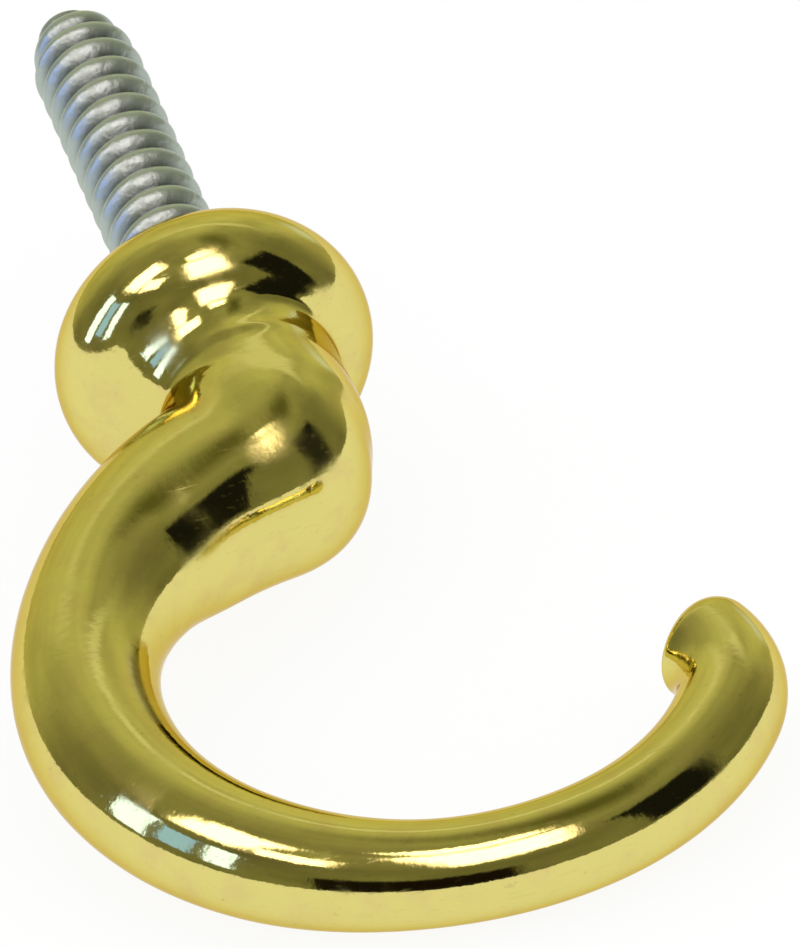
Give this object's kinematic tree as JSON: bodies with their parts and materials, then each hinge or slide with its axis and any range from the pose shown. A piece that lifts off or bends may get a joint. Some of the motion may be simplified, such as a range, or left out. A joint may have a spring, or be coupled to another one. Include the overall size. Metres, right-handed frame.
{
  "type": "curtain hook",
  "caption": "Cast hook with a round collar, an open loop that thins to its tip, and a threaded screw that drives into wood above the collar.",
  "frame": {"origin": "middle of the collar's flat seat, on the screw's axis", "axes": "+Z along the screw, away from the hook; +X from the screw's axis towards the mouth and the tip; the loop lies in the XZ plane"},
  "size_m": [0.0274, 0.0122, 0.0558],
  "materials": {
    "brass_finish": "polished brass finish with a faint haze",
    "zinc_finish": "semi-gloss zinc"
  },
  "bodies": {
    "root": {"hook_body": "brass_finish", "wood_screw": "zinc_finish"}
  },
  "joints": []
}
